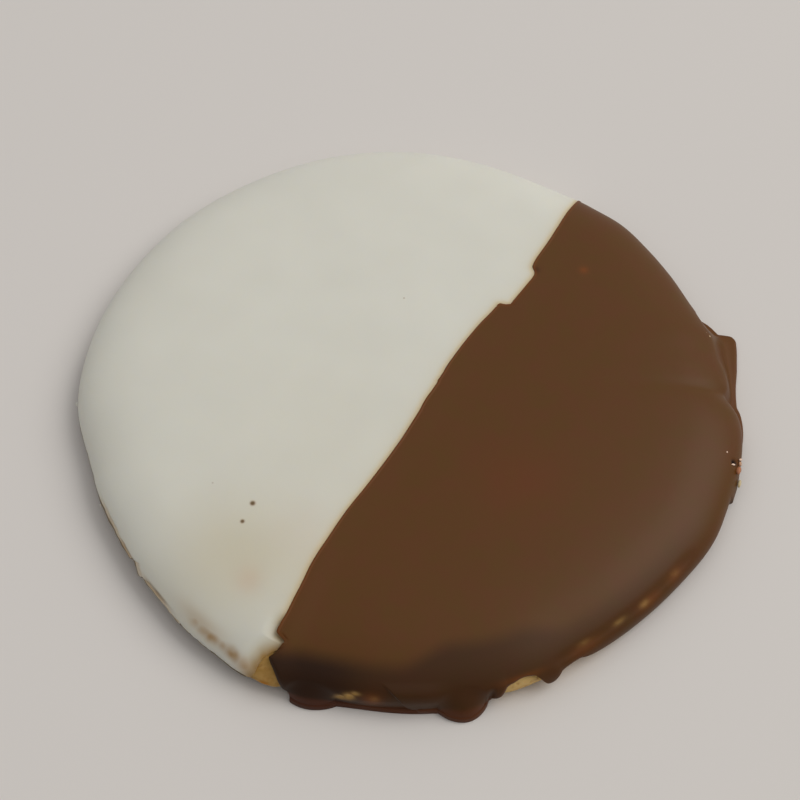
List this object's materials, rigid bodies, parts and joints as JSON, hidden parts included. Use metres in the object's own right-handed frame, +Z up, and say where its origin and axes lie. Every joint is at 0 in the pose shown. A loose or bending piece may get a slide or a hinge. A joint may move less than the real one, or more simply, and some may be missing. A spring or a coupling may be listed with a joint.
{
  "type": "black and white cookie",
  "caption": "Round soft-cake cookie, iced half white and half with chocolate, with drips and a spill at the chocolate's rim; it lies on its flat baked face.",
  "frame": {"origin": "middle of the outline, on the surface that the cookie lies on", "axes": "+Z up through the icing, +X towards the chocolate half, the line between the icings runs along Y"},
  "size_m": [0.1191, 0.1155, 0.0116],
  "materials": {
    "cake_crumb": "soft baked crumb, matt",
    "white_fondant": "poured sugar icing, satin",
    "chocolate_fondant": "poured chocolate icing, satin"
  },
  "bodies": {
    "root": {"cake_base": "cake_crumb", "white_icing": "white_fondant", "chocolate_icing": "chocolate_fondant"}
  },
  "joints": []
}
